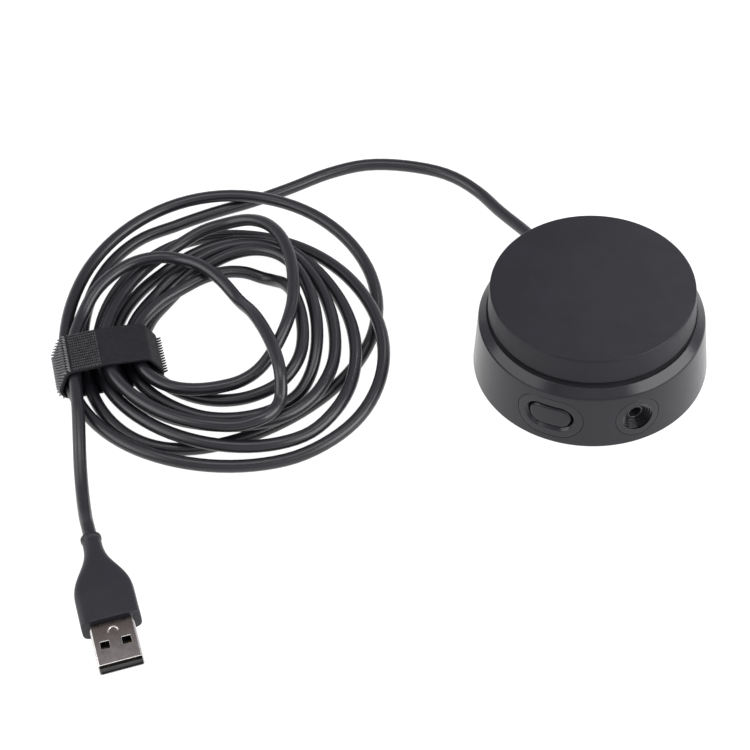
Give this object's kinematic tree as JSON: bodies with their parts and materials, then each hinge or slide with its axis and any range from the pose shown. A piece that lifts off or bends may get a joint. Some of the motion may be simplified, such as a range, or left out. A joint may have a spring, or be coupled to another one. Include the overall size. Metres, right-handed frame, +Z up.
{
  "type": "desktop sound dial",
  "caption": "Low round desktop sound dial: a wide turning knob on a tapered base with a push button, a headphone socket and a coiled, strapped cord that ends in a USB-A plug.",
  "frame": {"origin": "on the floor, under the middle of the round base (the knob axis)", "axes": "+Z up along the knob axis, -Y to the front between the button and the headphone socket, the cord and its coil lie to -X"},
  "size_m": [0.1935, 0.1994, 0.0307],
  "materials": {
    "base_plastic": "fine satin moulded black plastic",
    "knob_plastic": "soft matt black",
    "insert_plastic": "satin black, a shade darker than the base",
    "foot_rubber": "matt black rubber",
    "screw_steel": "plain zinc plated steel",
    "board_green": "green solder resist",
    "chip_black": "matt black moulding",
    "can_metal": "bare drawn can",
    "header_white": "off-white nylon",
    "sensor_metal": "plain nickel plated",
    "shaft_metal": "turned bare metal",
    "contact_brass": "gold flashed",
    "wire_sheath": "thin coloured wire sheath",
    "cord_sheath": "smooth satin black sheath",
    "strap_fabric": "black hook-and-loop band",
    "grip_plastic": "soft matt black moulding",
    "shell_nickel": "warm nickel plated sheet"
  },
  "bodies": {
    "base": {"base_housing": "base_plastic", "bottom_cover": "insert_plastic", "rubber_foot": "foot_rubber", "cover_screws": "screw_steel", "circuit_board": "board_green", "board_screws": "screw_steel", "sound_chip": "chip_black", "capacitors": "can_metal", "cord_header": "header_white", "sensor_case": "chip_black", "sensor_neck": "sensor_metal", "sensor_washer": "screw_steel", "sensor_nut": "screw_steel", "button_frame": "insert_plastic", "button_switch": "chip_black", "jack_body": "chip_black", "jack_tabs": "contact_brass", "jack_insert": "insert_plastic", "cord_guard": "cord_sheath", "cord_inner": "cord_sheath", "cord_wires": "wire_sheath", "cord_lead": "cord_sheath", "cord_coil": "cord_sheath", "cord_tail": "cord_sheath", "cord_strap": "strap_fabric", "plug_grip": "grip_plastic", "plug_shell": "shell_nickel", "plug_bar": "chip_black", "plug_contacts": "contact_brass"},
    "knob": {"knob_cap": "knob_plastic", "knob_core": "insert_plastic", "sensor_shaft": "shaft_metal"},
    "button": {"button_cap": "base_plastic", "switch_plunger": "header_white"}
  },
  "joints": [
    {"name": "knob_turn", "type": "hinge", "parent": "base", "child": "knob", "pos_m": [0, 0, 0.0224], "axis": [0, 0, 1], "continuous": true},
    {"name": "button_press", "type": "slide", "parent": "base", "child": "button", "axis": [0.3746, 0.9272, 0], "range_m": [0, 0.0005], "stiffness_N_per_m": 1500, "springref_m": -0.0005}
  ]
}
